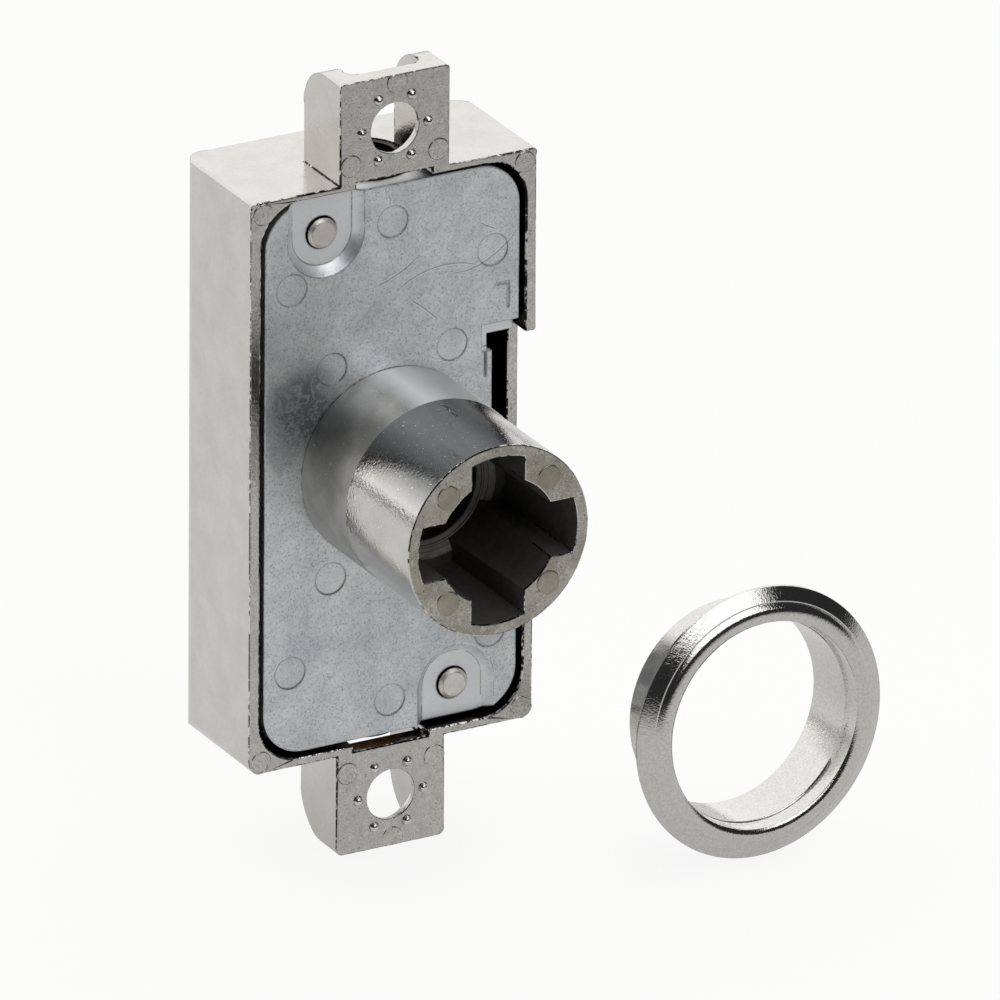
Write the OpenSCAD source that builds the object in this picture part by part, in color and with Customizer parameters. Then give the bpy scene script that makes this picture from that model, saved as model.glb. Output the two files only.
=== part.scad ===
// Surface-mounted espagnolette lock for furniture doors, with its separate rosette ring.
// Millimetres. X to the right, +Y into the case (away from the viewer), +Z up.
// The door face is the plane y = 0; the collar's axis is x = 0, z = 0.

/* [Case] */
// Width of the case, left to right
case_w = 28.4; // [27.8:0.1:31]
// Height of the case body between its flat ends, without the ears
case_h = 54.5; // [53.9:0.1:57]
// Depth of the case from the door face to its back
case_d = 13.0; // [12.4:0.1:15]
// Thickness of the case's back wall
back_wall = 1.2; // [0.9:0.1:1.5]
// Width of the rim left and right of the mouth
rim_side = 1.04; // [0.9:0.02:1.2]

/* [Ears] */
// Distance from the end of the case to the centre of its fixing screw
screw_out = 4.6; // [4.3:0.05:5.2]
// Diameter of a screw hole
screw_d = 4.8; // [4.2:0.1:5]
// Width of an ear over its two cheeks
ear_w = 10.8; // [10.4:0.1:11.6]
// Thickness of the screw plate of an ear
ear_t = 1.8; // [1.5:0.1:2]
// Distance from the screw centre to the tip of its ear
ear_tip = 4.95; // [4.7:0.05:5.4]

/* [Base plate] */
// Thickness of the zinc base plate
plate_t = 1.95; // [1.7:0.05:2.2]
// Depth of the plate's face below the rim of the case
plate_sunk = 0.25; // [0.15:0.05:0.35]

/* [Cylinder collar] */
// Outside diameter of the cylinder collar
collar_d = 18.0; // [17.8:0.1:18.4]
// Length of the collar in front of the door face
collar_len = 19.3; // [17:0.1:24]
// Bore between the four lobes of the collar
lobe_d = 11.6; // [11:0.1:12]
// Width of each of the four key arms
arm_w = 5.2; // [4.6:0.1:5.6]

/* [Rod hub] */
// Bore for the locking rod
rod_bore = 6.1; // [5.6:0.1:6.3]
// Wall of the hub tube
hub_wall = 0.6; // [0.55:0.05:0.65]
// Radial gap of a turning fit
run_gap = 0.08; // [0.06:0.01:0.1]

/* [Ring] */
// Outside diameter of the ring's flange
ring_d = 25.3; // [24.5:0.1:27]
// Diameter of the ring's sleeve
sleeve_d = 19.6; // [19.4:0.1:20.4]
// Length of the sleeve behind the edge of the flange
sleeve_len = 5.9; // [4:0.1:8]

/* [Hidden] */
$fn = 40;
fine = 20;
eps = 0.01;
cut = 1;

// case
case_x = case_w / 2;
case_z = case_h / 2;
rim_top = 0.55;
rim_low = 0.8;
mouth_x = case_x - rim_side;
mouth_top = case_z - rim_top;
mouth_low = -case_z + rim_low;
mouth_r = 4;
inner_y = case_d - back_wall;
corner_top = 0.35;
corner_low = 1.2;
back_r = 2.15;
notch_z = 9.9;
notch_y = 3.25;
notch_r = 0.3;

// ears
screw_z = case_z + screw_out;
ear_x = ear_w / 2;
cheek_t = 1.8;
cheek_in = ear_x - cheek_t;
cheek_y = 6.8;
tip_z = screw_z + ear_tip;
cheek_r_top = 4;
cheek_r_low = 5;
web_t = 0.4;
web_bore = screw_d / 2 + 0.75;
ear_fillet = 0.8;
ear_corner_top = 0.3;
ear_corner_low = 0.6;
pip_r = 0.45;
pip_ring = 3.28;
mark_h = 0.06;

// base plate
plate_y0 = plate_sunk;
plate_y1 = plate_sunk + plate_t;
plate_x = mouth_x - 0.5;
plate_top = mouth_top - 0.3;
plate_low = mouth_low + 0.45;
plate_r = 4.1;
slot_x = 10;
stud_x = 6.67;
stud_z = case_z - 4.4;
stud_r = 1.42;
stud_gap = 0.08;
stud_y = 0.6;
stud_edge = 0.3;
boss_r = 2.2;
pocket_y = 1.1;
pocket_in = 2.82;
pocket_out = 10.44;
pocket_z = stud_z - 3.95;
pocket_r = (pocket_out - pocket_in) / 2;
step_y = 1;
step_x = slot_x - 1;
step_low = notch_z - 1.2;
step_high = notch_z + 1.3;
tab_slot = [step_x + 0.22, step_low - 2.35];
tab_slot_size = [0.22, 2.25];
mark_line = 0.23;
mark_at = [slot_x + 0.4, notch_z + 2.6];
mark_size = [1.3, 2.5];
circle_r = 1.5;
circle_deep = 0.08;
circle_far = [slot_x, stud_z - 4.6];
circle_near = [6, stud_z - 12.85];

// rod hub: its front clears the plate's back by one turning gap
hub_r = rod_bore / 2 + hub_wall;
rod_y = plate_y1 + run_gap + hub_r;
slot_r = hub_r + run_gap;
hub_end = case_z - 0.1;
teeth_hub = 16;
gear_pitch = hub_r + 0.5;
gear_tip = gear_pitch + 0.35;
gear_root = hub_r;
gear_width = 1.4;
shoulder_r = hub_r + 0.45;
shoulder_t = 0.8;
shoulder_top = mouth_top - run_gap;
shoulder_low = mouth_low + run_gap;
relief_r = shoulder_r + 0.2;

// crown gear: 3 to 2 against the hub, its teeth end one gap before the hub tube
teeth_crown = 24;
crown_mean = gear_pitch * teeth_crown / teeth_hub + 0.07;
crown_tip = rod_y - hub_r - run_gap;
crown_root = rod_y - gear_tip - 0.15;
crown_in = crown_mean - 0.8;
crown_out = crown_mean + 0.8;
crown_r = crown_mean + 0.9;
tooth_foot = 0.8;
tooth_head = 0.36;

// saddles that carry the hub, halfway between the gear and the studs
saddle_z = (crown_r + stud_z) / 2;
saddle_t = 1.5;
saddle_x = 6;

// cylinder collar and driver
collar_r = collar_d / 2;
collar_front = -collar_len;
collar_step = -8;
front_less = 0.06;
step_len = 0.25;
lobe_r = lobe_d / 2;
arm_r = 7.87;
seat_y = -6.9;
lobe_draft = 0.12;
arm_draft = 0.42;
funnel_r = 6.5;
funnel_deep = 1.1;
neck_hole = 5.2;
web_y = -5.4;
drum_hole = crown_r + 0.63;
drum_r = drum_hole - run_gap;
drum_front = web_y + 0.5;
drum_back = -1;
neck_r = neck_hole - run_gap;
neck_front = seat_y + funnel_deep - 0.1;
neck_edge = 0.35;
spigot_r = 4.6;
spigot_y = 0.8;
key_w = 5.4;
key_t = 2.3;
key_deep = 4;
tail_r = collar_r - 0.4;
stake_r = collar_r + 0.4;
stake_t = 0.5;
stake_x = 3.9;
groove_x = 0.35;
groove_deep = 0.25;
groove_y0 = -11.8;
groove_y1 = -8.9;

// circlip and spring washer
clip_y0 = drum_back + 0.08;
clip_t = 0.6;
clip_in = crown_r + 0.15;
clip_out = drum_hole + 0.35;
clip_seat = clip_out + 0.05;
clip_gap = 3;
washer_t = 0.2;
washer_in = neck_r + 0.3;
washer_out = drum_r - 0.3;
washer_rise = 0.28;

// ring
ring_at = [27.9, -16.6, ring_d / 2 - tip_z];
ring_yaw = 2.94;
ring_pitch = 2.66;
ring_r = ring_d / 2;
sleeve_r = sleeve_d / 2;
ring_bore = sleeve_r - 0.4;
lip_r = ring_bore + 0.25;
lip_h = 1.2;
lip_end = -0.36;
edge_t = 0.3;
crest_r = lip_r + 0.63;
crest_in = 1;
crest_out = 1.6;
crest_turn = 25;
line_r = ring_r - 1.2;
line_h = 0.72;

// a flat shape drawn in X and Z, as a slab from depth y0 to y1
module slab(y0, y1) {
    translate([0, y1, 0]) rotate([90, 0, 0]) linear_extrude(height = y1 - y0) children();
}

// a round bar along Y at x, z
module drum(y0, y1, r, x = 0, z = 0) {
    translate([x, y1, z]) rotate([90, 0, 0]) cylinder(r = r, h = y1 - y0);
}

// a cone along Y, from radius r0 at depth y0 to r1 at y1
module cone(y0, y1, r0, r1, x = 0, z = 0) {
    translate([x, y1, z]) rotate([90, 0, 0]) cylinder(r1 = r1, r2 = r0, h = y1 - y0);
}

// a round bar along Y with a 45 degree edge round its front
module edged_drum(y0, y1, r, edge, x = 0, z = 0) {
    intersection() {
        drum(y0, y1, r, x, z);
        cone(y0, y1, r - edge, r - edge + y1 - y0, x, z);
    }
}

// a flat shape drawn in Y and Z, as a plate from x0 to x1
module across(x0, x1) {
    translate([x0, 0, 0]) rotate([90, 0, 90]) linear_extrude(height = x1 - x0) children();
}

// a rectangle with its own radius at each end
module panel(x, z0, z1, r0, r1) {
    translate([-x + r0, z0]) square([2 * (x - r0), z1 - z0 - r1]);
    translate([-x + r1, z0 + r0]) square([2 * (x - r1), z1 - z0 - r0]);
    translate([-x, z0 + r0]) square([2 * x, z1 - z0 - r0 - r1]);
    for (s = [-1, 1]) {
        translate([s * (x - r0), z0 + r0]) circle(r = r0, $fn = fine);
        translate([s * (x - r1), z1 - r1]) circle(r = r1, $fn = fine);
    }
}

// the right angle left over outside a quarter circle, to cut a rounded corner
module corner(r) {
    difference() {
        square([r + cut, r + cut]);
        circle(r = r);
    }
}

// one ear: screw plate, two cheeks, pips and mould marks; the lower one is built upside down
module ear(r, side_r) {
    foot = case_z - rim_top / 2;
    difference() {
        union() {
            slab(0, ear_t) translate([-ear_x, foot]) square([ear_w, tip_z - foot]);
            for (x = [-ear_x, cheek_in]) across(x, x + cheek_t) difference() {
                translate([0, foot]) square([cheek_y, tip_z - foot]);
                translate([cheek_y - r, tip_z - r]) corner(r);
            }
            for (s = [0, 1]) mirror([s, 0, 0]) translate([cheek_in - ear_fillet, ear_t + ear_fillet, foot])
                linear_extrude(height = tip_z - foot) difference() {
                    translate([0, -ear_fillet - eps]) square([ear_fillet + eps, ear_fillet + eps]);
                    circle(r = ear_fillet, $fn = fine);
                }
        }
        for (s = [-1, 1]) slab(-cut, cheek_y + cut) translate([s * (ear_x - side_r), tip_z - side_r])
            mirror([s < 0 ? 1 : 0, 0]) corner(side_r);
        drum(-cut, ear_t + cut, screw_d / 2, 0, screw_z);
        drum(web_t, ear_t + cut, web_bore, 0, screw_z);
    }
    for (i = [0 : 5]) translate([pip_ring * cos(60 * i), 0, screw_z + pip_ring * sin(60 * i)])
        sphere(r = pip_r, $fn = 14);
    for (s = [-1, 1]) drum(-mark_h, eps, 1, s * (ear_x - 1.05), screw_z - 2.85, $fn = fine);
    slab(-mark_h, eps) intersection() {
        translate([0.2, tip_z - 0.7]) circle(r = 1, $fn = fine);
        translate([-2, tip_z - 2]) square([4, 2 - eps]);
    }
}

// nickel-plated die-cast case, open to the front, with an ear above and below
module case() {
    color("silver") {
        difference() {
            union() {
                difference() {
                    slab(0, case_d) panel(case_x, -case_z, case_z, corner_low, corner_top);
                    for (s = [-1, 1]) translate([s * (case_x - back_r), case_d - back_r, -case_z - cut])
                        mirror([s < 0 ? 1 : 0, 0, 0]) linear_extrude(height = case_h + 2 * cut) corner(back_r);
                    slab(-cut, inner_y) panel(mouth_x, mouth_low, mouth_top, mouth_r, mouth_r);
                    slab(-cut, notch_y) translate([mouth_x - cut, -notch_z])
                        square([rim_side + 2 * cut, 2 * notch_z]);
                    for (s = [-1, 1]) slab(-cut, notch_y) translate([case_x - notch_r, s * (notch_z + notch_r)])
                        mirror([0, s > 0 ? 1 : 0]) corner(notch_r);
                }
                ear(cheek_r_top, ear_corner_top);
                mirror([0, 0, 1]) ear(cheek_r_low, ear_corner_low);
                for (s = [-1, 1]) translate([-s * stud_x, 0, s * stud_z]) {
                    drum(plate_y1, inner_y + eps, boss_r);
                    edged_drum(stud_y, inner_y, stud_r, stud_edge);
                }
                for (s = [-1, 1]) slab(rod_y, inner_y + eps) translate([-saddle_x, s * saddle_z - saddle_t / 2])
                    square([2 * saddle_x, saddle_t]);
                for (x = [-1, 1]) for (z = [-1, 1])
                    drum(-mark_h, eps, 0.97, x * (case_x - 1.2), z * (case_z - 1.15), $fn = fine);
            }
            // U-slots for the hub, from the mouth back to a round end on the rod's axis
            slab(-cut, rod_y) translate([-slot_r, mouth_low - 0.55]) square([2 * slot_r, 2]);
            slab(-cut, rod_y) translate([-slot_r, mouth_top - 2]) square([2 * slot_r, 2.6]);
            for (s = [-1, 1]) slab(ear_t, rod_y) translate([-slot_r, s * (case_z - 1 + eps) - 1])
                square([2 * slot_r, 2]);
            translate([0, rod_y, -case_z - eps]) cylinder(r = slot_r, h = case_h + 2 * eps);
        }
    }
}

// one round-ended pocket round a stud, open towards the plate's end; its walls slope at 45 degrees
module pocket() {
    slope = pocket_y - plate_y0;
    turn_z = pocket_z + pocket_r;
    translate([0, 0, turn_z]) linear_extrude(height = case_z - turn_z) polygon([
        [-pocket_out - plate_y0, 0], [-pocket_in + plate_y0, 0],
        [-pocket_in - slope, pocket_y], [-pocket_out + slope, pocket_y]]);
    cone(0, pocket_y, pocket_r + plate_y0, pocket_r - slope, -pocket_out + pocket_r, turn_z);
    drum(-cut, case_d, stud_r + stud_gap, -stud_x, stud_z);
}

// raw zinc base plate, riveted over the two studs of the case
module base_plate() {
    color("lightsteelblue") difference() {
        slab(plate_y0, plate_y1) panel(plate_x, plate_low, plate_top, plate_r, plate_r);
        pocket();
        rotate([0, 180, 0]) pocket();
        drum(-cut, case_d, tail_r);
        slab(-cut, case_d) translate([slot_x, -notch_z]) square([case_x, 2 * notch_z]);
        slab(-cut, plate_y0 + step_y) translate([step_x, step_low]) square([case_x, step_high - step_low]);
        slab(-cut, plate_y0 + step_y / 3) translate(tab_slot) square(tab_slot_size);
        slab(-cut, plate_y0 + circle_deep) translate(mark_at) difference() {
            square(mark_size);
            translate([-mark_line, -mark_line]) square(mark_size);
        }
        for (z = [shoulder_low, shoulder_top - shoulder_t]) translate([0, rod_y, z - 0.3])
            cylinder(r = relief_r, h = shoulder_t + 0.6);
        for (t = [-1, 1]) {
            drum(-cut, plate_y0 + circle_deep, circle_r, 0, t * stud_z, $fn = fine);
            for (s = [-1, 1]) for (c = [circle_far, circle_near])
                drum(-cut, plate_y0 + circle_deep, circle_r, s * c[0], t * c[1], $fn = fine);
        }
    }
}

// bore between the lobes plus the four key arms; it narrows by its draft, and a funnel ends it behind the seat
module cross_bore() {
    front = collar_front - cut;
    bottom = seat_y + funnel_deep;
    over = cut / (bottom - collar_front);
    intersection() {
        rotate([-90, 0, 0]) rotate_extrude() polygon([
            [0, front], [arm_r + over * arm_draft, front], [arm_r - arm_draft, seat_y],
            [funnel_r, seat_y], [neck_hole, bottom], [0, bottom]]);
        union() {
            cone(front, bottom, lobe_r + over * lobe_draft, lobe_r - lobe_draft);
            for (turn = [0, 90]) rotate([0, turn, 0]) across(-collar_r, collar_r) polygon([
                [front, -arm_w / 2 - over * arm_draft], [bottom, -arm_w / 2 + arm_draft],
                [bottom, arm_w / 2 - arm_draft], [front, arm_w / 2 + over * arm_draft]]);
        }
    }
}

// nickel-plated collar for the removable core, staked into the base plate
module cylinder_collar() {
    color("gainsboro") {
        difference() {
            union() {
                drum(collar_front, plate_y0, collar_r - front_less);
                cone(collar_step - step_len, collar_step, collar_r - front_less, collar_r);
                drum(collar_step, plate_y0, collar_r);
                drum(plate_y0 - eps, plate_y1 + stake_t, tail_r);
                drum(plate_y1, plate_y1 + stake_t, stake_r);
                for (x = [-1, 1]) for (z = [-1, 1])
                    drum(collar_front - mark_h, collar_front + eps, 1.1, x * 5, z * 5, $fn = fine);
            }
            cross_bore();
            drum(collar_front, web_y, neck_hole);
            drum(web_y - eps, case_d, drum_hole);
            drum(clip_y0 - 0.03, clip_y0 + clip_t + 0.05, clip_seat);
            slab(plate_y1, case_d) square([2 * stake_x, 3 * stake_r], center = true);
            slab(groove_y0, groove_y1) translate([-groove_x / 2, collar_r - front_less - groove_deep])
                square([groove_x, cut]);
        }
    }
}

// brass driver: neck with the slot for the core's tail, drum, and the spigot for the gear
module core_driver() {
    color("goldenrod") difference() {
        union() {
            edged_drum(neck_front, drum_front + eps, neck_r, neck_edge);
            drum(drum_front, drum_back, drum_r);
            drum(drum_back - eps, spigot_y, spigot_r);
        }
        slab(neck_front - cut, neck_front + key_deep) square([key_w, key_t], center = true);
    }
}

// crown gear pressed on the driver's spigot; its straight teeth face the back of the case
module crown_gear() {
    color("darkgoldenrod") {
        difference() {
            drum(drum_back, crown_root, crown_r);
            drum(drum_back - cut, crown_root + cut, spigot_r);
        }
        for (i = [0 : teeth_crown - 1]) rotate([0, i * 360 / teeth_crown, 0])
            translate([0, 0, -crown_out]) linear_extrude(height = crown_out - crown_in) polygon([
                [-tooth_foot / 2, crown_root - eps], [tooth_foot / 2, crown_root - eps],
                [tooth_head / 2, crown_tip], [-tooth_head / 2, crown_tip]]);
    }
}

// coned spring washer between the collar's inner web and the driver's drum
module spring_washer() {
    color("dimgray") translate([0, drum_front, 0]) rotate([90, 0, 0]) rotate_extrude()
        polygon([[washer_in, washer_rise], [washer_out, 0],
                 [washer_out, washer_t], [washer_in, washer_rise + washer_t * 0.9]]);
}

// open snap ring in the collar's bore behind the drum
module driver_circlip() {
    color("slategray") slab(clip_y0, clip_y0 + clip_t) difference() {
        circle(r = clip_out);
        circle(r = clip_in);
        translate([clip_in - cut, -clip_gap / 2]) square([2 * cut, clip_gap]);
    }
}

// brass hub that turns in the U-slots and carries the rod: tube, two shoulders, pinion
module rod_hub() {
    color("peru") difference() {
        union() {
            translate([0, rod_y, -hub_end]) cylinder(r = hub_r, h = 2 * hub_end);
            for (z = [shoulder_low, shoulder_top - shoulder_t])
                translate([0, rod_y, z]) cylinder(r = shoulder_r, h = shoulder_t);
            translate([0, rod_y, -crown_mean - gear_width / 2]) linear_extrude(height = gear_width) {
                circle(r = gear_root);
                for (i = [0 : teeth_hub - 1]) rotate(-90 + (i + 0.5) * 360 / teeth_hub) polygon([
                    [gear_root - 0.1, -tooth_foot / 2], [gear_tip, -tooth_head / 2],
                    [gear_tip, tooth_head / 2], [gear_root - 0.1, tooth_foot / 2]]);
            }
        }
        translate([0, rod_y, -hub_end - cut]) cylinder(r = rod_bore / 2, h = 2 * (hub_end + cut));
    }
}

// a round cap of the ring's profile, from radius r0 to r1, its top at lip_h over the crest
module crest(r, r0, r1) {
    intersection() {
        translate([crest_r, lip_h - r]) circle(r = r, $fn = fine);
        translate([r0, 0]) square([r1 - r0, lip_h]);
    }
}

// rosette ring that trims the hole in the door, standing beside the lock; its flange is a dome in two steps
module rosette_ring() {
    turn_r = crest_r + crest_out * sin(crest_turn);
    turn_h = lip_h - crest_out * (1 - cos(crest_turn));
    inner_h = lip_h - crest_in + sqrt(pow(crest_in, 2) - pow(crest_r - lip_r, 2));
    color("whitesmoke") translate(ring_at) rotate([90 - ring_pitch, 0, ring_yaw]) rotate_extrude($fn = 60) {
        polygon([
            [ring_bore, -sleeve_len], [sleeve_r, -sleeve_len], [sleeve_r, -edge_t],
            [ring_r, -edge_t], [ring_r, 0], [line_r, line_h], [line_r - 0.12, line_h],
            [turn_r, turn_h], [crest_r, lip_h - crest_in / 2], [lip_r, inner_h],
            [lip_r, lip_end], [ring_bore, lip_end - 0.3]]);
        crest(crest_out, crest_r, turn_r);
        crest(crest_in, lip_r, crest_r);
    }
}

case();
base_plate();
cylinder_collar();
core_driver();
crown_gear();
spring_washer();
driver_circlip();
rod_hub();
rosette_ring();
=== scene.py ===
"""Looks of the espagnolette lock: plated case and collar, raw zinc plate, brass hub, rosette ring."""
import math

import bmesh
import bpy
from mathutils import Matrix, Vector


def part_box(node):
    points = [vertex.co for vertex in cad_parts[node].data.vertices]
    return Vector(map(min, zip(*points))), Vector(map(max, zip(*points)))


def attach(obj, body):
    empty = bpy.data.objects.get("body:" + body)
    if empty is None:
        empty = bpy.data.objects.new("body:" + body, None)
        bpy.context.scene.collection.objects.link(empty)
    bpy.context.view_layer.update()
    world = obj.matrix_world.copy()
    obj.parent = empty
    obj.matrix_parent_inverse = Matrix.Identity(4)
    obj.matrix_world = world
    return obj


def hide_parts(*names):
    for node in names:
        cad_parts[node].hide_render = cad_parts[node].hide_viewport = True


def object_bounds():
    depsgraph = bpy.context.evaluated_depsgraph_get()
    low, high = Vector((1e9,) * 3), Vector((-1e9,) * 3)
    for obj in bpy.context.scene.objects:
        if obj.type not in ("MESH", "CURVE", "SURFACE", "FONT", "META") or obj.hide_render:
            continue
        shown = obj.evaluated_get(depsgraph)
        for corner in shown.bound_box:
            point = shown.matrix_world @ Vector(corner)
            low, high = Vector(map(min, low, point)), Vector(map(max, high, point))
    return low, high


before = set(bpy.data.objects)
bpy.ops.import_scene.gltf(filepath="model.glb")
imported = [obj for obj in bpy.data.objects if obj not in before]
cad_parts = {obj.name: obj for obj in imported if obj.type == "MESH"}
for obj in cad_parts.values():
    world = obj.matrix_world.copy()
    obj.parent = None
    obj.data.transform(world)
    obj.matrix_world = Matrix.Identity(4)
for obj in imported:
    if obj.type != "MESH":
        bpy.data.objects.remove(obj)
cad_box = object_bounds()

# Camera: a long lens, left of the lock and above it, fitted to the photograph's edges and circles. The
# picture is 1000 pixels wide, and a millimetre of the lock takes about 11 of them.
MM = 0.001
camera_azimuth, camera_elevation, camera_roll = (math.radians(a) for a in (-28.915, 23.43, 0.493))
camera_distance = 2109.6 * MM
camera_target = Vector((10.788, 0, -5.732)) * MM
farthest_seen = 20                  # metres
sensor_width = 36
picture_width = 1000 / 11.354       # millimetres across the picture at the target

back = Vector((math.sin(camera_azimuth) * math.cos(camera_elevation),
               -math.cos(camera_azimuth) * math.cos(camera_elevation),
               math.sin(camera_elevation)))
level = Vector((math.cos(camera_azimuth), math.sin(camera_azimuth), 0))
upright = back.cross(level)
right = level * math.cos(camera_roll) + upright * math.sin(camera_roll)
up = upright * math.cos(camera_roll) - level * math.sin(camera_roll)

lens = bpy.data.cameras.new("camera")
lens.sensor_width = sensor_width
lens.lens = sensor_width * camera_distance / (picture_width * MM)
lens.clip_end = farthest_seen
camera = bpy.data.objects.new("camera", lens)
bpy.context.scene.collection.objects.link(camera)
camera.matrix_world = Matrix.Translation(camera_target + back * camera_distance) @ Matrix(
    (right, up, back)).transposed().to_4x4()
bpy.context.scene.camera = camera
bpy.context.scene.view_settings.view_transform = "Standard"

# Floor: a pale sweep of matt paper. The camera sees it nearly as plain white, it keeps part of its own
# shading, so the lock's shadow stays, and the plating mirrors it greyer in front, where it runs out into the
# dark room.
floor_reach = 3
floor_corners = ((-1, -1), (1, -1), (1, 1), (-1, 1))
floor_z = cad_box[0].z
paper_colour = "#f4f2ee"
plain_white = "#ffffff"
paper_white = 0.88              # the share of plain white over the paper's own shading
paper_behind = 0.84             # what the plating mirrors behind the lock, in front of it and at the dark end
paper_front = 0.62
paper_end = 0.1
paper_turn_mm = (-5, 30)        # along Y, from front to behind
paper_end_mm = (-420, -60)      # along Y, from the dark end to the front


def linear(colour):
    """An sRGB hex colour as linear red, green, blue and alpha."""
    parts = [int(colour[i:i + 2], 16) / 255 for i in (1, 3, 5)]
    return [c / 12.92 if c <= 0.04045 else ((c + 0.055) / 1.055) ** 2.4 for c in parts] + [1]


def add_node(material, kind, inputs, **settings):
    """Adds a shader node to a material or the world and returns its outputs. Inputs go by socket name or
    number: a number, a vector, a hex colour, another node's output, or None where the socket stays open."""
    made = material.node_tree.nodes.new("ShaderNode" + kind)
    for name, value in settings.items():
        setattr(made, name, value)
    for name, value in inputs.items():
        if isinstance(value, bpy.types.NodeSocket):
            material.node_tree.links.new(value, made.inputs[name])
        elif value is not None:
            made.inputs[name].default_value = linear(value) if isinstance(value, str) else value
    return made.outputs


def new_material(name):
    """An empty node material with its output node."""
    material = bpy.data.materials.new(name)
    material.use_nodes = True
    material.node_tree.nodes.clear()
    return material, material.node_tree.nodes.new("ShaderNodeOutputMaterial")


floor_mesh = bpy.data.meshes.new("paper_floor")
floor_mesh.from_pydata([(x * floor_reach, y * floor_reach, floor_z) for x, y in floor_corners], [],
                       [(0, 1, 2, 3)])
floor = bpy.data.objects.new("paper_floor", floor_mesh)
bpy.context.scene.collection.objects.link(floor)
paper, paper_out = new_material("matt_paper")
paper_y = add_node(paper, "SeparateXYZ", {0: add_node(paper, "TexCoord", {})["Object"]})["Y"]
paper_fade = add_node(paper, "MapRange", {"Value": paper_y, "From Min": paper_end_mm[0] * MM,
                                          "From Max": paper_end_mm[1] * MM, "To Min": paper_end,
                                          "To Max": paper_front})[0]
paper_near = add_node(paper, "MapRange", {"Value": paper_y, "From Min": paper_turn_mm[0] * MM,
                                          "From Max": paper_turn_mm[1] * MM, "To Min": paper_fade,
                                          "To Max": paper_behind})[0]
paper_ray = add_node(paper, "LightPath", {})
paper_level = add_node(paper, "Math", {0: paper_near, 1: paper_ray["Is Camera Ray"]}, operation="MAXIMUM")[0]
paper_light = add_node(paper, "Emission", {"Color": plain_white, "Strength": paper_level})[0]
paper_matt = add_node(paper, "BsdfDiffuse", {"Color": paper_colour})[0]
paper_seen = add_node(paper, "Math", {0: paper_ray["Is Camera Ray"], 1: paper_ray["Is Glossy Ray"]},
                      operation="MAXIMUM")[0]
paper_share = add_node(paper, "Math", {0: paper_seen, 1: paper_white}, operation="MULTIPLY")[0]
paper_mix = add_node(paper, "MixShader", {0: paper_share, 1: paper_matt, 2: paper_light})[0]
paper.node_tree.links.new(paper_mix, paper_out.inputs["Surface"])
floor_mesh.materials.append(paper)

# Light: a white backdrop behind the lock, a dark room on the camera's side, which is what makes plating look
# dark in places, a dark seam where backdrop and paper meet, and two soft boxes.
room_dark = "#2a2a2b"
room_strength = 1.2
backdrop_side = Vector((0.15, 0.93, 0.3))
backdrop_rim = (0.1, 0.32)      # how far a direction turns to that side where the white begins, and is full
seam_height = 0.0
seam_half = 0.035
box_output = 4                  # watts per square metre of lamp for a brightness of 1

world = bpy.data.worlds.new("studio")
bpy.context.scene.world = world
world.use_nodes = True
world.node_tree.nodes.clear()
world_out = world.node_tree.nodes.new("ShaderNodeOutputWorld")
room_at = add_node(world, "TexCoord", {})["Generated"]
room_side = add_node(world, "VectorMath", {0: room_at, 1: backdrop_side}, operation="DOT_PRODUCT")["Value"]
room_share = add_node(world, "MapRange", {"Value": room_side, "From Min": backdrop_rim[0],
                                          "From Max": backdrop_rim[1]}, interpolation_type="SMOOTHSTEP")[0]
room_height = add_node(world, "SeparateXYZ", {0: room_at})["Z"]
room_seam = add_node(world, "Math", {0: room_height, 1: seam_height, 2: seam_half}, operation="COMPARE")[0]
room_open = add_node(world, "Math", {0: room_share, 1: room_seam}, operation="SUBTRACT", use_clamp=True)[0]
# Mix has its colour inputs at 6 and 7 and its colour output at 2.
room_colour = add_node(world, "Mix", {"Factor": room_open, 6: room_dark, 7: plain_white}, data_type="RGBA")[2]
room_glow = add_node(world, "Background", {"Color": room_colour, "Strength": room_strength})[0]
room_white = add_node(world, "Background", {"Color": plain_white, "Strength": 1.0})[0]
room_mix = add_node(world, "MixShader", {0: add_node(world, "LightPath", {})["Is Camera Ray"], 1: room_glow,
                                         2: room_white})[0]
world.node_tree.links.new(room_mix, world_out.inputs["Surface"])


def soft_box(name, place, width, height, brightness):
    """An oblong lamp that faces the lock. The camera doesn't see it. Reflections do, at its brightness."""
    lamp = bpy.data.lights.new(name, "AREA")
    lamp.shape = "RECTANGLE"
    lamp.size, lamp.size_y = width, height
    lamp.energy = brightness * box_output * width * height
    held = bpy.data.objects.new(name, lamp)
    bpy.context.scene.collection.objects.link(held)
    held.location = place
    held.rotation_mode = "QUATERNION"
    held.rotation_quaternion = Vector(place).to_track_quat("Z", "Y")
    held.visible_camera = False


soft_box("box_over_camera", (0.131, -0.618, 0.569), width=0.8, height=0.46, brightness=1.3)
soft_box("box_overhead", (0.1, -0.2, 0.8), width=0.6, height=0.34, brightness=1.4)

# Case: a pressure die casting of zinc, tumbled, then nickel plated. The plating is a light, slightly warm
# grey, nearly a mirror on top. The open side keeps the casting's grain and nicks, and the raised discs of the
# ejector pins. Inside, where no tumbling reached, the casting is dull, with grease, and painted dark: painted
# shade in the case.
case_edge = 0.16
edge_steps = 2
weld_gap = 0.004                # corners closer than this are one corner
flat_angle = 0.05               # faces that meet at fewer degrees are one face
narrow_face = 1.6               # faces narrower than this many roundings keep their sharp edges
facet_corners = 4               # the facets of round walls have up to four corners, flat faces have more
stud_middle = (6.67, 22.85)
stud_reach = 1.5
stud_depth = 1.2
pip_front = -0.07
inside_front = 0.05
inside_back = 0.1
inside_half = 13.3
inside_low, inside_high = -26.6, 26.85
corner_depth = 2
open_side = (-0.95, -0.6)       # the outward normal's Y where the grain is full, and where it is least
side_grain = 0.12               # the least share of the grain, on the other sides
top_tone_up = 0.94                  # the upward part of the side that is painted a tone
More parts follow.
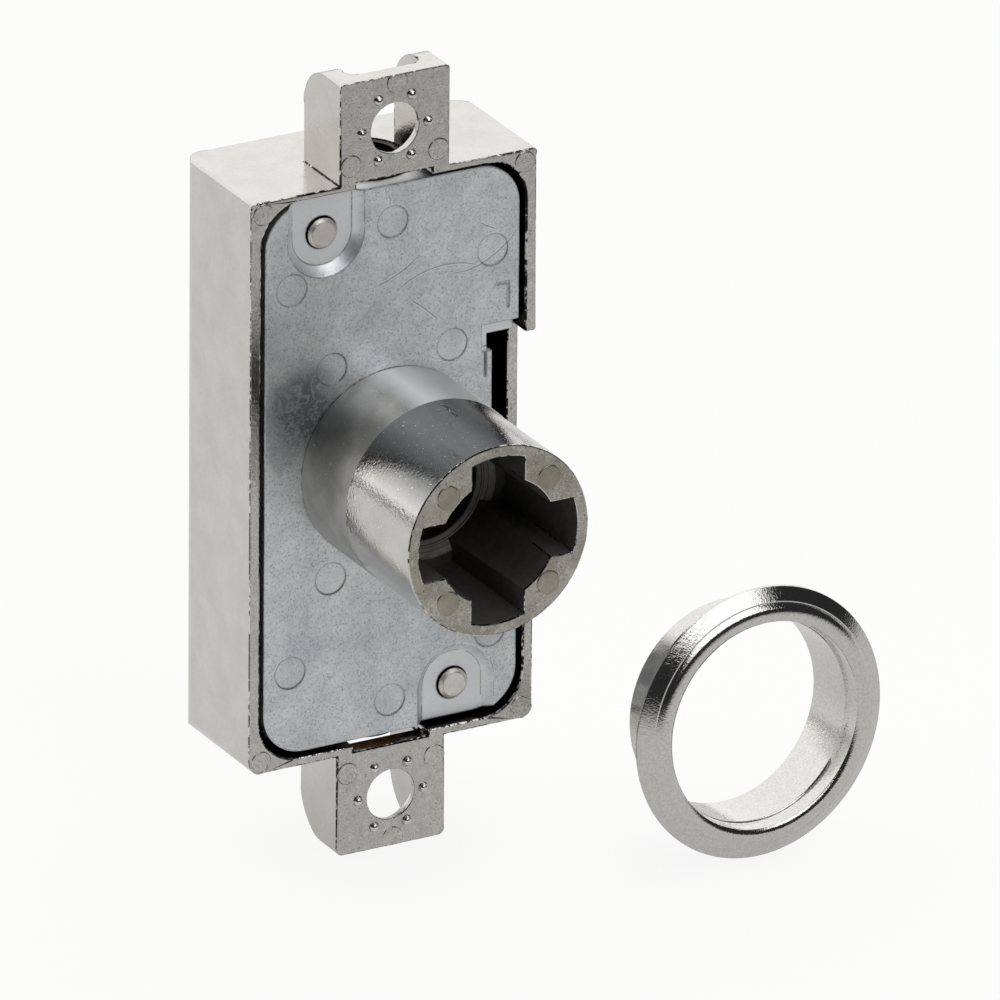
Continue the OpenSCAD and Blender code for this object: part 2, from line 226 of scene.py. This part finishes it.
gloss_spread = (-0.03, 0.05)    # how far roughness goes below and above the plating's own
greased_rough = 0.4
peel_depth, nick_depth, break_depth, smear_depth = 0.009, 0.02, 0.02, 0.02
edge_cosines = (0.985, 0.93)    # how far rounding turns the normal where an edge begins, and on the edge
break_spread = 0.6               # the weight of the wide pattern of breaks beside the short one
plate_colour, plate_shade = "#d2d0cc", "#cbc9c4"
grit_dark, grit_light = "#8b8882", "#f8f7f4"
patch_dark, patch_light = "#8f8c85", "#fbfaf7"
nick_dark = "#4a4843"
# Painted shade: the grey that the collar's top is painted.
top_shade_grey = "#6c6d6e"
edge_line_black = "#262421"
cloud_mm = 3.0
smear_mm = 0.9
patch_mm = 0.7
break_mm = 0.5
break_spread_mm = 7.0
peel_mm = 0.4
nick_mm = 0.3                   # nicks, specks and grit are coarser than the real ones, so that they show
speck_mm = 0.16
grit_mm = 0.14


def millimetres(material):
    """The row frame's place of each point in millimetres, which moves with the piece."""
    place = add_node(material, "TexCoord", {})["Object"]
    return add_node(material, "VectorMath", {0: place, "Scale": 1000.0}, operation="SCALE")[0]


def lay_over(material, colour, tint, pattern, *, starts, full, share=1.0, least=0.0, where=None):
    """Lays a tint over a colour. Its amount goes from least, where the pattern is at starts, to share, where
    it is at full, and is multiplied by where, if that is given."""
    amount = add_node(material, "MapRange", {"Value": pattern, "From Min": starts, "From Max": full,
                                             "To Min": least, "To Max": share})[0]
    if where is not None:
        amount = add_node(material, "Math", {0: amount, 1: where}, operation="MULTIPLY")[0]
    return add_node(material, "Mix", {"Factor": amount, 6: colour, 7: tint}, data_type="RGBA")[2]


def metal_skin(material, out, colour, rough, bumps, normal=None, metallic=1.0):
    """Ends a material: its bumps, each a height and its depth in millimetres, one over the other, under the
    metal's colour and gloss."""
    for height, depth_mm in bumps:
        normal = add_node(material, "Bump", {"Height": height, "Distance": depth_mm * MM, "Strength": 1.0,
                                             "Normal": normal})[0]
    skin = add_node(material, "BsdfPrincipled", {"Base Color": colour, "Metallic": metallic,
                                                 "Roughness": rough, "Normal": normal})[0]
    material.node_tree.links.new(skin, out.inputs["Surface"])
    return material


def at_edges(material, reach_mm):
    """The normal of an edge rounded over reach_mm, and a share that is 1 on sharp edges and 0 on flats."""
    rounded = add_node(material, "Bevel", {"Radius": reach_mm * MM}, samples=8)[0]
    flat = add_node(material, "NewGeometry", {})["Normal"]
    turned = add_node(material, "VectorMath", {0: rounded, 1: flat}, operation="DOT_PRODUCT")["Value"]
    return rounded, add_node(material, "MapRange", {"Value": turned, "From Min": edge_cosines[0],
                                                    "From Max": edge_cosines[1]})[0]


def edge_breaks(material, place):
    """A height that breaks an edge's line into stretches, denser in some places."""
    short = add_node(material, "TexNoise", {"Vector": place, "Scale": 1 / break_mm, "Detail": 4.0,
                                            "Roughness": 0.75})["Fac"]
    wide = add_node(material, "TexNoise", {"Vector": place, "Scale": 1 / break_spread_mm, "Detail": 2.0,
                                           "Roughness": 0.55})["Fac"]
    wide = add_node(material, "Math", {0: wide, 1: break_spread}, operation="MULTIPLY")[0]
    return add_node(material, "Math", {0: short, 1: wide}, operation="ADD")[0]


def nickel_plate(name, light, shade, rough, grit, dark_edge_share, film=0.0, top_tone_side=-0.35, top_tone_colour=top_shade_grey):
    """Satin nickel on a tumbled casting: a soft mirror with a faint orange peel. The open side is grainy,
    with dark nicks and light and dark patches. Where film is given, the side that faces up is painted a tone,
    painted shade where it is dark and painted light where it is light, with white specks. A dark line, broken
    in stretches, is painted along the edges."""
    made, out = new_material(name)
    place = millimetres(made)
    clouds, patches, peel, nicks, specks, fine = (
        add_node(made, "TexNoise", {"Vector": place, "Scale": 1 / size_mm, "Detail": detail,
                                    "Roughness": crisp})["Fac"]
        for size_mm, detail, crisp in ((cloud_mm, 3.0, 0.5), (patch_mm, 5.0, 0.75), (peel_mm, 3.0, 0.55),
                                       (nick_mm, 2.0, 0.6), (speck_mm, 0.0, 0.5), (grit_mm, 2.0, 0.6)))
    outward = add_node(made, "TexCoord", {})["Normal"]
    toward_back = add_node(made, "SeparateXYZ", {0: outward})["Y"]
    coarse = add_node(made, "MapRange", {"Value": toward_back, "From Min": open_side[0],
                                         "From Max": open_side[1], "To Min": grit,
                                         "To Max": side_grain * grit})[0]
    upward = add_node(made, "VectorMath", {0: outward, 1: Vector((top_tone_side, 0, top_tone_up))},
                      operation="DOT_PRODUCT")["Value"]
    colour = lay_over(made, shade, light, clouds, starts=0.35, full=0.65)
    # The side that faces up is painted a tone: a dark one is painted shade, a light one painted light.
    colour = lay_over(made, colour, top_tone_colour, upward, starts=0.74, full=0.9, share=film)
    colour = lay_over(made, colour, grit_dark, fine, starts=0.45, full=0.7, share=0.5, where=coarse)
    colour = lay_over(made, colour, grit_light, fine, starts=0.42, full=0.3, share=0.6, where=coarse)
    colour = lay_over(made, colour, nick_dark, nicks, starts=0.64, full=0.68, share=0.8, where=coarse)
    colour = lay_over(made, colour, plain_white, specks, starts=0.79, full=0.83, share=film)
    colour = lay_over(made, colour, patch_dark, patches, starts=0.5, full=0.66, share=0.4, where=coarse)
    colour = lay_over(made, colour, patch_light, patches, starts=0.46, full=0.32, share=0.45, where=coarse)
    rounded, edge = at_edges(made, case_edge)
    stretch = edge_breaks(made, place)
    # A dark line painted along the edges, broken in stretches.
    colour = lay_over(made, colour, edge_line_black, stretch, starts=0.83, full=0.77, share=dark_edge_share, where=edge)
    gloss = add_node(made, "MapRange", {"Value": peel, "From Min": 0.3, "From Max": 0.7,
                                        "To Min": rough + gloss_spread[0],
                                        "To Max": rough + gloss_spread[1]})[0]
    return metal_skin(made, out, colour, gloss, [(peel, peel_depth), (nicks, nick_depth)], rounded)


def worn_edge(name, light, dark, rough=0.2):
    """The tumbled edge of a casting: a bright rubbed line, broken by dark stretches painted on it."""
    made, out = new_material(name)
    stretch = edge_breaks(made, millimetres(made))
    colour = lay_over(made, dark, light, stretch, starts=0.8, full=0.85)
    return metal_skin(made, out, colour, rough, [(stretch, break_depth)])


def greased_shaded_casting(name, light, shade):
    """The inside of the casting, which no tumbling reached: dull, with smears of grease, and painted dark:
    painted shade.
    """
    made, out = new_material(name)
    film = add_node(made, "TexNoise", {"Vector": millimetres(made), "Scale": 1 / smear_mm, "Detail": 4.0,
                                       "Roughness": 0.55})["Fac"]
    colour = lay_over(made, shade, light, film, starts=0.35, full=0.65)
    return metal_skin(made, out, colour, greased_rough, [(film, smear_depth)])


def rounded_piece(name, node, body, edge, materials, sharp_angle=28, inside=None):
    """Makes the visible piece from a node's solid, with its sharp edges rounded as tumbling leaves them.
    Edges of faces narrower than narrow_face roundings, and edges where inside(x, y, z) is true, stay sharp.
    The last material is the rounded edges' own."""
    shape = bmesh.new()
    shape.from_mesh(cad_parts[node].data)
    bmesh.ops.remove_doubles(shape, verts=shape.verts, dist=weld_gap * MM)
    bmesh.ops.dissolve_limit(shape, angle_limit=math.radians(flat_angle), verts=shape.verts,
                             edges=shape.edges)
    rounding = shape.edges.layers.float.new("bevel_weight_edge")
    breadth = {face: 2 * face.calc_area() / face.calc_perimeter() for face in shape.faces}
    for line in shape.edges:
        line.smooth = len(line.link_faces) != 2 or line.calc_face_angle() < math.radians(sharp_angle)
        kept_sharp = inside and all(inside(*(vert.co / MM)) for vert in line.verts)
        if not line.smooth and not kept_sharp:
            line[rounding] = min(breadth[face] for face in line.link_faces) > narrow_face * edge * MM
    for face in shape.faces:
        face.smooth = len(face.verts) <= facet_corners
    bmesh.ops.triangulate(shape, faces=[face for face in shape.faces if not face.smooth])
    mesh = bpy.data.meshes.new(name)
    shape.to_mesh(mesh)
    shape.free()
    mesh.attributes.remove(mesh.attributes["custom_normal"])    # the solid's normals don't fit the rounding
    for material in materials:
        mesh.materials.append(material)
    piece = bpy.data.objects.new(name, mesh)
    bpy.context.scene.collection.objects.link(piece)
    bevel = piece.modifiers.new("rounded_edges", "BEVEL")
    bevel.width = edge * MM
    bevel.segments = edge_steps
    bevel.limit_method = "WEIGHT"
    bevel.use_clamp_overlap = False
    bevel.material = len(materials) - 1
    shading = piece.modifiers.new("flat_faces_stay_flat", "WEIGHTED_NORMAL")
    shading.weight = 100
    shading.keep_sharp = True
    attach(piece, body)
    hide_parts(node)
    return piece


# The rounded edges: a rubbed line, broken by near-black stretches painted on it.
plated_edge = worn_edge("rubbed_nickel_edge", "#dedcd7", "#2a2826")
case_plating = nickel_plate("satin_nickel_casting", plate_colour, plate_shade, rough=0.18, grit=0.8,
                            dark_edge_share=0.8)
stud_plating = nickel_plate("peened_stud_head", "#fdfaf4", "#efebe4", rough=0.45, grit=0.2, dark_edge_share=1.0)
pip_plating = nickel_plate("bright_nickel_pip", "#e6e4e0", "#dcdad6", rough=0.1, grit=0.0, dark_edge_share=0.9)
# The inside of the case is painted near black: painted shade.
case_inside = greased_shaded_casting("greased_shaded_case_inside", "#3d3a35", "#242220")
case_skins = [case_plating, stud_plating, pip_plating, case_inside, plated_edge]
case = rounded_piece("plated_case", "case", "lock", case_edge, case_skins)
case_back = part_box("case")[1].y / MM
for face in case.data.polygons:
    x, y, z = face.center / MM
    from_studs = min(math.hypot(x - side * stud_middle[0], z + side * stud_middle[1]) for side in (-1, 1))
    half = inside_half - max(0, y - case_back + corner_depth)    # narrower at the back's rounded corners
    if y < stud_depth and from_studs < stud_reach:
        face.material_index = case_skins.index(stud_plating)
    elif y < pip_front:
        face.material_index = case_skins.index(pip_plating)
    elif inside_front < y < case_back - inside_back and abs(x) < half and inside_low < z < inside_high:
        face.material_index = case_skins.index(case_inside)

# Rod hub: a brass tube turned from bar, with two shoulders and a pinion, that lies in the case's saddles. The
# locking rod passes through it. Its ends, which the open rod channels show, are painted black: painted shade
# in the channels.
hub_edge = 0.06
hub_end = 26.9
end_blend = 0.2
# Painted shade: the near black of the hub's ends.
end_shade_black = "#16120e"
brass_rough = 0.34
tool_mark_mm = 0.2
tool_mark_depth = 0.008
round_axis = Vector((0.05, 0.05, 1))
grease_mm = 1.2
round_wall_angle = 35


def turned_brass(name, light, shade, dark_end=99):
    """Free-cutting brass: a yellow sheen with the fine rings of the turning tool round the rod's axis, dulled
    by smears of grease, and painted black beyond dark_end millimetres from the middle: painted shade at the
    ends."""
    made, out = new_material(name)
    place = millimetres(made)
    long_place = add_node(made, "VectorMath", {0: place, 1: round_axis}, operation="MULTIPLY")[0]
    rings = add_node(made, "TexNoise", {"Vector": long_place, "Scale": 1 / tool_mark_mm, "Detail": 2.0,
                                        "Roughness": 0.5})["Fac"]
    film = add_node(made, "TexNoise", {"Vector": place, "Scale": 1 / grease_mm, "Detail": 4.0,
                                       "Roughness": 0.55})["Fac"]
    colour = lay_over(made, shade, light, film, starts=0.35, full=0.65)
    height = add_node(made, "SeparateXYZ", {0: place})["Z"]
    height = add_node(made, "Math", {0: height}, operation="ABSOLUTE")[0]
    colour = lay_over(made, colour, end_shade_black, height, starts=dark_end - end_blend, full=dark_end,
                      share=0.94)
    return metal_skin(made, out, colour, brass_rough, [(rings, tool_mark_depth)])


hub_brass = turned_brass("turned_brass", "#8f6a3c", "#5f4427", hub_end)
rounded_piece("brass_hub", "rod_hub", "hub", hub_edge, [hub_brass], round_wall_angle)

# Driver and crown gear: the brass driver, which the core's tail turns, shows its slot at the bottom of the
# collar's bore. The gear is cut from brass and pressed on the driver's spigot.
driver_edge = 0.1
driver_brass = turned_brass("oiled_brass", "#6f6238", "#453c22")
rounded_piece("brass_driver", "core_driver", "driver", driver_edge, [driver_brass],
              round_wall_angle)


def dress(node, material):
    """Gives a CAD node that keeps its own shape its finish."""
    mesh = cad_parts[node].data
    mesh.materials.clear()
    mesh.materials.append(material)


dress("crown_gear", turned_brass("cut_brass", "#b39455", "#8a6c3a"))

# Spring washer and circlip: both are stamped from hardened spring steel. The washer presses the driver away
# from the collar's web, and the open clip, oxidised black, holds the driver's drum.
oil_mm = 0.6
oil_depth = 0.01


def stamped_steel(name, light, shade, rough):
    """Stamped spring steel: a dull grey or black with a faint mottling of oil."""
    made, out = new_material(name)
    film = add_node(made, "TexNoise", {"Vector": millimetres(made), "Scale": 1 / oil_mm, "Detail": 3.0,
                                       "Roughness": 0.55})["Fac"]
    colour = lay_over(made, shade, light, film, starts=0.35, full=0.65)
    return metal_skin(made, out, colour, rough, [(film, oil_depth)])


dress("spring_washer", stamped_steel("spring_steel", "#6c6c6e", "#4c4c4e", rough=0.35))
dress("driver_circlip", stamped_steel("black_spring_steel", "#55555a", "#39393c", rough=0.45))

# Collar: a die casting with a cross-shaped bore for the core, staked into the plate. Its front is plated
# bright and its foot stays dull. Deep in the bore the casting is painted dark: painted shade.
collar_edge = 0.1
collar_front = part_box("cylinder_collar")[0].y / MM
disc_depth = 0.02               # the ejector discs are foremost, and the rest of the front is behind them
front_depth = 0.15
bore_edge_depth = 0.3
collar_step = -8                # the foot begins at this Y
bore_radius = 8
facing_front = 0.9              # the share of a face's normal along Y
seat_tilt = (0.2, 0.95)
bore_rough, bore_metal = 0.6, 0.3
ring_grey = "#55524c"
ream_mm = 0.16
stain_mm = 0.7
stain_depth = 0.01
across_axis = Vector((1, 0, 1))


def dark_casting(name, light, shade, rings):
    """Bare zinc in the bore: dull, with stains and with the rings that the reamer left round the collar's
    axis, coarser than the real ones, so that they show. Its colours are given; dark ones are painted shade."""
    made, out = new_material(name)
    place = millimetres(made)
    from_axis = add_node(made, "VectorMath", {0: place, 1: across_axis}, operation="MULTIPLY")[0]
    radius = add_node(made, "VectorMath", {0: from_axis}, operation="LENGTH")["Value"]
    turned = add_node(made, "CombineXYZ", {0: radius})[0]
    ring = add_node(made, "TexNoise", {"Vector": turned, "Scale": 1 / ream_mm, "Detail": 2.0,
                                       "Roughness": 0.6})["Fac"]
    film = add_node(made, "TexNoise", {"Vector": place, "Scale": 1 / stain_mm, "Detail": 4.0,
                                       "Roughness": 0.55})["Fac"]
    colour = lay_over(made, shade, light, film, starts=0.3, full=0.7)
    colour = lay_over(made, colour, ring_grey, ring, starts=0.5, full=0.6, share=rings)
    return metal_skin(made, out, colour, bore_rough, [(film, stain_depth)], metallic=bore_metal)


# The collar's top is painted dark grey, painted shade; the foot's top, facing up and right, is painted white,
# painted light.
collar_plating = nickel_plate("bright_nickel_collar", "#cfcdc9", "#c6c4c0", rough=0.13, grit=0.5, dark_edge_share=0.7,
                              film=0.85)
foot_plating = nickel_plate("dull_nickel_foot", "#c0bfbc", "#a3a29e", rough=0.36, grit=0.5, dark_edge_share=0.6,
                            film=0.9, top_tone_side=0.5, top_tone_colour=plain_white)
# The front and its discs are painted a darker, warmer grey than the rest of the collar: painted shade.
front_plating = nickel_plate("grained_nickel_front", "#bbb8ae", "#a09d92", rough=0.2, grit=0.7, dark_edge_share=0.8)
disc_plating = nickel_plate("satin_nickel_disc", "#aca798", "#989282", rough=0.3, grit=0.3, dark_edge_share=0.8)
# The deep bore is painted dark grey: painted shade.
bore_casting = dark_casting("dark_cast_bore", "#605e5b", "#504e4b", rings=0.0)
seat_casting = dark_casting("reamed_seat", "#b4b0a7", "#969289", rings=0.9)
collar_skins = [collar_plating, disc_plating, foot_plating, bore_casting, seat_casting, front_plating,
                plated_edge]


def in_bore(x, y, z):
    """Tells whether a point lies in the bore, behind the collar's front edges."""
    return math.hypot(x, z) < bore_radius and y > collar_front + bore_edge_depth


collar = rounded_piece("plated_collar", "cylinder_collar", "lock", collar_edge, collar_skins,
                       inside=in_bore)
for face in collar.data.polygons:
    x, y, z = face.center / MM
    behind, tilt = y - collar_front, abs(face.normal.y)
    if behind < disc_depth and tilt > facing_front:
        skin = disc_plating
    elif behind < front_depth and tilt > facing_front:
        skin = front_plating
    elif math.hypot(x, z) < bore_radius and behind > front_depth:
        skin = seat_casting if seat_tilt[0] < tilt < seat_tilt[1] else bore_casting
    elif math.hypot(x, z) > bore_radius and y > collar_step:
        skin = foot_plating
    else:
        skin = collar_plating
    face.material_index = collar_skins.index(skin)

# Base plate: a die casting left as it leaves the die, riveted over the case's two studs. The raw zinc is pale
# blue-grey, mottled by the metal's flow, with a dark cold shut beside the collar, pockets where the studs
# were peened over, painted bright against the shade in them, and handling scratches with a painted shade and
# a painted highlight. Painted shade lies along its edges and steps.
plate_edge = 0.06
plate_circle = 0.25
zinc_light, zinc_shade = "#f6f8f9", "#d8dde1"
mottle_light, mottle_dark = "#fdfdfe", "#a3aaae"
grain_dark = "#8a9196"
pocket_painted_light = "#fbfdff"
cold_shut_dark, vein_light = "#787c82", "#dde0e3"
step_shade_dark = "#54585c"
flow_mm = 3.5
mottle_mm = 0.32
grain_mm = 0.16
flow_depth, mottle_depth, grain_depth = 0.03, 0.012, 0.004
zinc_gloss = (0.36, 0.5)
zinc_metal = 0.85
swirls_per_mm = 0.35
swirl_reach = 5
noise_middle = 0.5
vein_mm = 1.1
stain_share = 0.85
stain_middle = Vector((-8.4, 0.25, 6.0))
stain_radii = (2.4, 5.6)
scratch_half = 0.05
scratch_whole = 0.6
scratch_shade_and_highlight = ((scratch_half, "#656a6e"), (-scratch_half, plain_white))
# Each scratch is an arc: the middle and radius of its circle, the spot where it is and how far it goes there.
scratches = (((5.3, 0, 9.5), 8.2, (4.5, 0, 17.6), 4.6), ((6.5, 0, 24.0), 7.2, (9.8, 0, 17.6), 4.0),
             ((-4.0, 0, 27.0), 10.2, (0.5, 0, 17.8), 2.6), ((-9.0, 0, 0.0), 18.5, (3.2, 0, 13.8), 2.0),
             ((20.0, 0, 40.0), 22.0, (9.5, 0, 20.6), 1.1))


def raw_zinc(name):
    """Unplated die-cast zinc: a pale blue-grey, half matt, with cloudy flow marks and a mottled grain, which
    is coarser than the real one, so that it shows."""
    made, out = new_material(name)
    place = millimetres(made)
    flow, mottle, fine = (
        add_node(made, "TexNoise", {"Vector": place, "Scale": 1 / size_mm, "Detail": detail,
                                    "Roughness": crisp})["Fac"]
        for size_mm, detail, crisp in ((flow_mm, 5.0, 0.65), (mottle_mm, 4.0, 0.8), (grain_mm, 2.0, 0.7)))
    depth = add_node(made, "SeparateXYZ", {0: place})["Y"]
    colour = lay_over(made, zinc_shade, zinc_light, flow, starts=0.35, full=0.65)
    colour = lay_over(made, colour, mottle_light, mottle, starts=0.54, full=0.68, share=0.7)
    colour = lay_over(made, colour, mottle_dark, mottle, starts=0.47, full=0.32, share=0.7)
    colour = lay_over(made, colour, grain_dark, fine, starts=0.54, full=0.7, share=0.8)
    colour = lay_over(made, colour, mottle_light, fine, starts=0.42, full=0.3, share=0.8)
    # Deeper faces, the pockets' floors, painted lighter: painted light against the shade in the pockets.
    colour = lay_over(made, colour, pocket_painted_light, depth, starts=0.4, full=0.9, share=0.8)

    # The cold shut: a dark patch whose outline and light veins are drawn out by a swirl of the metal.
    shift = add_node(made, "TexNoise", {"Vector": place, "Scale": swirls_per_mm, "Detail": 4.0})["Color"]
    centred = add_node(made, "VectorMath", {0: shift, 1: Vector((1, 1, 1)) * noise_middle},
                       operation="SUBTRACT")[0]
    swirl = add_node(made, "VectorMath", {0: centred, 1: Vector((1, 1, 1)) * swirl_reach, 2: place},
                     operation="MULTIPLY_ADD")[0]
    away = add_node(made, "VectorMath", {0: swirl, 1: stain_middle}, operation="DISTANCE")["Value"]
    stain = add_node(made, "MapRange", {"Value": away, "From Min": stain_radii[0], "From Max": stain_radii[1],
                                        "To Min": stain_share, "To Max": 0})[0]
    colour = add_node(made, "Mix", {"Factor": stain, 6: colour, 7: cold_shut_dark}, data_type="RGBA")[2]
    ridge = add_node(made, "TexNoise", {"Vector": swirl, "Scale": 1 / vein_mm, "Detail": 3.0,
                                        "Roughness": 0.6})["Fac"]
    ridge = add_node(made, "Math", {0: ridge, 1: noise_middle}, operation="SUBTRACT")[0]
    ridge = add_node(made, "Math", {0: ridge}, operation="ABSOLUTE")[0]
    colour = lay_over(made, colour, vein_light, ridge, starts=0.06, full=0.0, share=0.75, where=stain)

    # The scratches: each has a dark side and a bright one, painted shade and a painted highlight.
    flat = add_node(made, "VectorMath", {0: place, 1: across_axis}, operation="MULTIPLY")[0]
    for middle, radius, spot, reach in scratches:
        away = add_node(made, "VectorMath", {0: flat, 1: Vector(middle)}, operation="DISTANCE")["Value"]
        along = add_node(made, "VectorMath", {0: flat, 1: Vector(spot)}, operation="DISTANCE")["Value"]
        there = add_node(made, "MapRange", {"Value": along, "From Min": reach * scratch_whole,
                                            "From Max": reach, "To Min": 1, "To Max": 0})[0]
        for side, tone in scratch_shade_and_highlight:
            off_line = add_node(made, "Math", {0: away, 1: radius + side}, operation="SUBTRACT")[0]
            off_line = add_node(made, "Math", {0: off_line}, operation="ABSOLUTE")[0]
            colour = lay_over(made, colour, tone, off_line, starts=0.07, full=0.02, share=0.7, where=there)

    rounded, edge = at_edges(made, plate_circle)
    # A dark line painted along edges and steps: painted shade.
    colour = lay_over(made, colour, step_shade_dark, mottle, starts=0.3, full=0.6, share=0.8, least=0.2, where=edge)
    gloss = add_node(made, "MapRange", {"Value": mottle, "From Min": 0.35, "From Max": 0.65,
                                        "To Min": zinc_gloss[0], "To Max": zinc_gloss[1]})[0]
    bumps = [(flow, flow_depth), (mottle, mottle_depth), (fine, grain_depth)]
    return metal_skin(made, out, colour, gloss, bumps, rounded, zinc_metal)


zinc = raw_zinc("raw_die_cast_zinc")
zinc_edge = worn_edge("rubbed_zinc_edge", "#f0f3f5", "#b4babe", rough=0.42)
rounded_piece("zinc_plate", "base_plate", "lock", plate_edge, [zinc, zinc_edge])

# Rosette ring: pressed from sheet and nickel plated, it trims the hole in the door and stands by itself here.
# Pressing left a radial grain on its flange and drawn lines round it, and its bore has an orange skin.
ring_edge = 0.04
ring_middle = Vector((27.9, -16.6, -24.15))
ring_flange = 11.0
streak_grey = "#a3a29d"
ring_gloss = (0.06, 0.13)
ring_wall_angle = 40
streak_mm, streak_depth, streak_stretch = 0.14, 0.012, Vector((1, 0.4, 0.4))
line_mm, line_depth, line_stretch = 0.3, 0.003, Vector((0.01, 1, 1))
skin_mm, skin_depth = 0.22, 0.01


def pressed_nickel(name, light, shade):
    """Bright nickel on pressed sheet: a hard mirror, broken by radial streaks, by lines round the ring's axis
    and by an orange peel. The streaks are coarser than the real ones, so that they show."""
    made, out = new_material(name)
    place = add_node(made, "VectorMath", {0: millimetres(made), 1: ring_middle}, operation="SUBTRACT")[0]
    parts = add_node(made, "SeparateXYZ", {0: place})
    angle = add_node(made, "Math", {0: parts["Z"], 1: parts["X"]}, operation="ARCTAN2")[0]
    round_mm = add_node(made, "Math", {0: angle, 1: ring_flange}, operation="MULTIPLY")[0]
    from_axis = add_node(made, "VectorMath", {0: place, 1: across_axis}, operation="MULTIPLY")[0]
    radius = add_node(made, "VectorMath", {0: from_axis}, operation="LENGTH")["Value"]
    polar = add_node(made, "CombineXYZ", {0: round_mm, 1: radius, 2: parts["Y"]})[0]
    radial = add_node(made, "VectorMath", {0: polar, 1: streak_stretch}, operation="MULTIPLY")[0]
    circling = add_node(made, "VectorMath", {0: polar, 1: line_stretch}, operation="MULTIPLY")[0]
    streaks, lines, peel = (
        add_node(made, "TexNoise", {"Vector": at, "Scale": 1 / size_mm, "Detail": detail,
                                    "Roughness": crisp})["Fac"]
        for at, size_mm, detail, crisp in ((radial, streak_mm, 2.0, 0.6), (circling, line_mm, 2.0, 0.5),
                                           (place, skin_mm, 3.0, 0.6)))
    colour = lay_over(made, shade, light, peel, starts=0.35, full=0.65)
    colour = lay_over(made, colour, streak_grey, streaks, starts=0.52, full=0.7, share=0.3)
    gloss = add_node(made, "MapRange", {"Value": streaks, "From Min": 0.3, "From Max": 0.7,
                                        "To Min": ring_gloss[0], "To Max": ring_gloss[1]})[0]
    bumps = [(lines, line_depth), (streaks, streak_depth), (peel, skin_depth)]
    return metal_skin(made, out, colour, gloss, bumps)


ring_plating = pressed_nickel("pressed_nickel_ring", "#dcdbd8", "#cccbc8")
rounded_piece("plated_ring", "rosette_ring", "lock", ring_edge, [ring_plating],
              ring_wall_angle)
